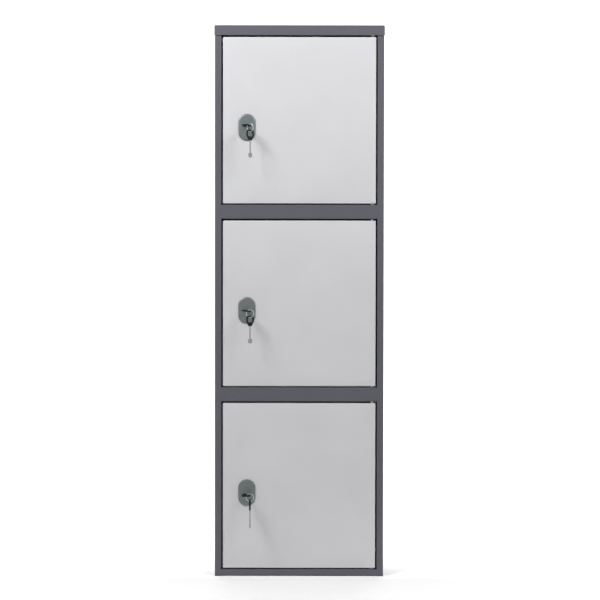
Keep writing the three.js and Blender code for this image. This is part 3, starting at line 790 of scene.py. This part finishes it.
def painted_welds():
    """The ground and painted welds between the rails and the stiles, which make the front one flush frame."""
    ground, short = 0.02 * MM, 1.5 * MM
    for rail in ("bottom_pan", "lower_divider_shelf", "upper_divider_shelf"):
        low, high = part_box(rail)
        foot = low.z if rail == "bottom_pan" else high.z - RAIL_HEIGHT
        head = low.z + FIRST_RAIL_HEIGHT if rail == "bottom_pan" else high.z
        for name, side in (("left", -1), ("right", 1)):
            back = low.y + WELD_DEPTH + ground
            solid = Solid((side * (STILE_EDGE + WELD_OFFSET), back, (foot + head) / 2), (1, 0, 0), UP)
            outline = rectangle(WELD_WIDTH, head - foot - 2 * short, 0.4 * MM, 3)
            solid.plate(outline, [], 0, WELD_DEPTH, 0.12 * MM, 2)
            place(solid.finish(f"{rail}_{name}_weld"), "root", "frame_paint")


# ---- Stage, light and camera ----


def backdrop_paper():
    """White paper that glows behind the cabinet and far away, and is greyer on the studio floor in front."""
    shader = Shader("backdrop_paper")
    split = shader.tree.nodes.new("ShaderNodeSeparateXYZ")
    shader.link(shader.position, split.inputs["Vector"])
    paper = shader.blend(shader.noise(30, 3), (0.87, 0.87, 0.87, 1), (0.89, 0.89, 0.89, 1))
    studio = shader.spread(split.outputs["Y"], -0.43, -0.75)
    colour = shader.blend(studio, paper, (0.5, 0.5, 0.5, 1))
    behind = shader.spread(split.outputs["Y"], -0.21, 0.14, 0.05, 1.0)
    aside = shader.spread(shader.math("ABSOLUTE", split.outputs["X"]), 2.3, 5.5, 1.0, 0.45)
    ahead = shader.spread(split.outputs["Y"], -4.0, -6.5, 0.0, 0.45)
    glow = shader.math("ADD", shader.math("MULTIPLY", behind, aside), ahead)
    shader.set(Base_Color=colour, Roughness=0.95, Emission_Color=(1, 1, 1, 1), Emission_Strength=glow)
    return shader.material


def sweep():
    """A wide floor that curves up into a wall behind."""
    solid = Solid((0, 0, 0), (1, 0, 0), (0, 1, 0))
    reach, wall, curve = 45, 4.5, 1.5
    profile = [(-reach, 0), (-4, 0), *arc((wall - curve, curve), curve, -90, 0, 24), (wall, reach)]
    rows = []
    for y, z in profile:
        rows.append([solid.mesh.verts.new((x, y, z)) for x in (-reach, reach)])
    for low, high in zip(rows, rows[1:]):
        solid.mesh.faces.new((low[0], low[1], high[1], high[0]))
    backdrop = solid.finish("backdrop")
    backdrop.data.materials.append(backdrop_paper())


def softbox(name, place_at, target, size, power):
    """A rectangular area light at a place, turned to a target."""
    light = bpy.data.lights.new(name, "AREA")
    light.shape = "RECTANGLE"
    light.size, light.size_y = size
    light.energy = power
    lamp = bpy.data.objects.new(name, light)
    lamp.location = place_at
    lamp.rotation_euler = (Vector(target) - Vector(place_at)).to_track_quat("-Z", "Y").to_euler()
    bpy.context.scene.collection.objects.link(lamp)


def studio_walls():
    """The world: pale near the horizon and dim above, so that the light keeps its direction."""
    world = bpy.data.worlds.new("studio")
    world.use_nodes = True
    nodes, links = world.node_tree.nodes, world.node_tree.links
    split = nodes.new("ShaderNodeSeparateXYZ")
    links.new(nodes.new("ShaderNodeTexCoord").outputs["Generated"], split.inputs["Vector"])
    horizon = nodes.new("ShaderNodeMapRange")
    for name, value in (("From Min", 0.1), ("From Max", 0.3), ("To Min", 0.55), ("To Max", 0.055)):
        horizon.inputs[name].default_value = value
    links.new(split.outputs["Z"], horizon.inputs["Value"])
    background = nodes["Background"]
    background.inputs["Color"].default_value = (1, 1, 1, 1)
    links.new(horizon.outputs["Result"], background.inputs["Strength"])
    bpy.context.scene.world = world


def lighting():
    """Two softboxes above the cabinet, two strips in front of it and the studio's own light."""
    softbox("left_softbox", (-1.4, -1.3, 2.6), (0, -0.1, 1.1), (0.8, 0.8), 47)
    softbox("right_softbox", (1.6, -1.3, 2.6), (0, -0.1, 1.1), (0.8, 0.8), 37)
    softbox("left_front_strip", (-1.3, -3.6, 1.1), (0, -0.1, 0.8), (0.5, 1.4), 3.5)
    softbox("right_front_strip", (1.5, -3.6, 1.1), (0, -0.1, 0.8), (0.5, 1.4), 4)
    studio_walls()


def camera():
    """Square to the doors, a little above the cabinet's middle and tipped down by about a degree."""
    distance = 3.1
    shown_width = 1.622
    aside = 0.002
    height = 0.802
    tip = math.radians(0.97)
    roll = math.radians(0.08)
    data = bpy.data.cameras.new("camera")
    data.sensor_width = 36
    data.lens = data.sensor_width * distance / shown_width
    eye = bpy.data.objects.new("camera", data)
    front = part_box("lower_door_panel")[0].y
    eye.location = (aside, front - distance, height)
    turn = Matrix.Rotation(math.pi / 2 - tip, 3, "X") @ Matrix.Rotation(roll, 3, "Z")
    eye.rotation_euler = turn.to_euler()
    bpy.context.scene.collection.objects.link(eye)
    bpy.context.scene.camera = eye
    bpy.context.scene.view_settings.view_transform = "Standard"


# ---- Assembly ----

camera()
lighting()
sweep()
finish_frame_nodes()
painted_welds()
for level in LEVELS:
    door_panel(level)
    for end, side in (("lower", -1), ("upper", 1)):
        hinge_pin(level, end, side)
        hinge_bush(level, end, side)
    door_buffer(level)
    escutcheon(level)
    lock_screws(level)
    for kind in ("key", "spare_key"):
        key_bow(level, kind)
        key_blade(level, kind)
    split_ring(level)
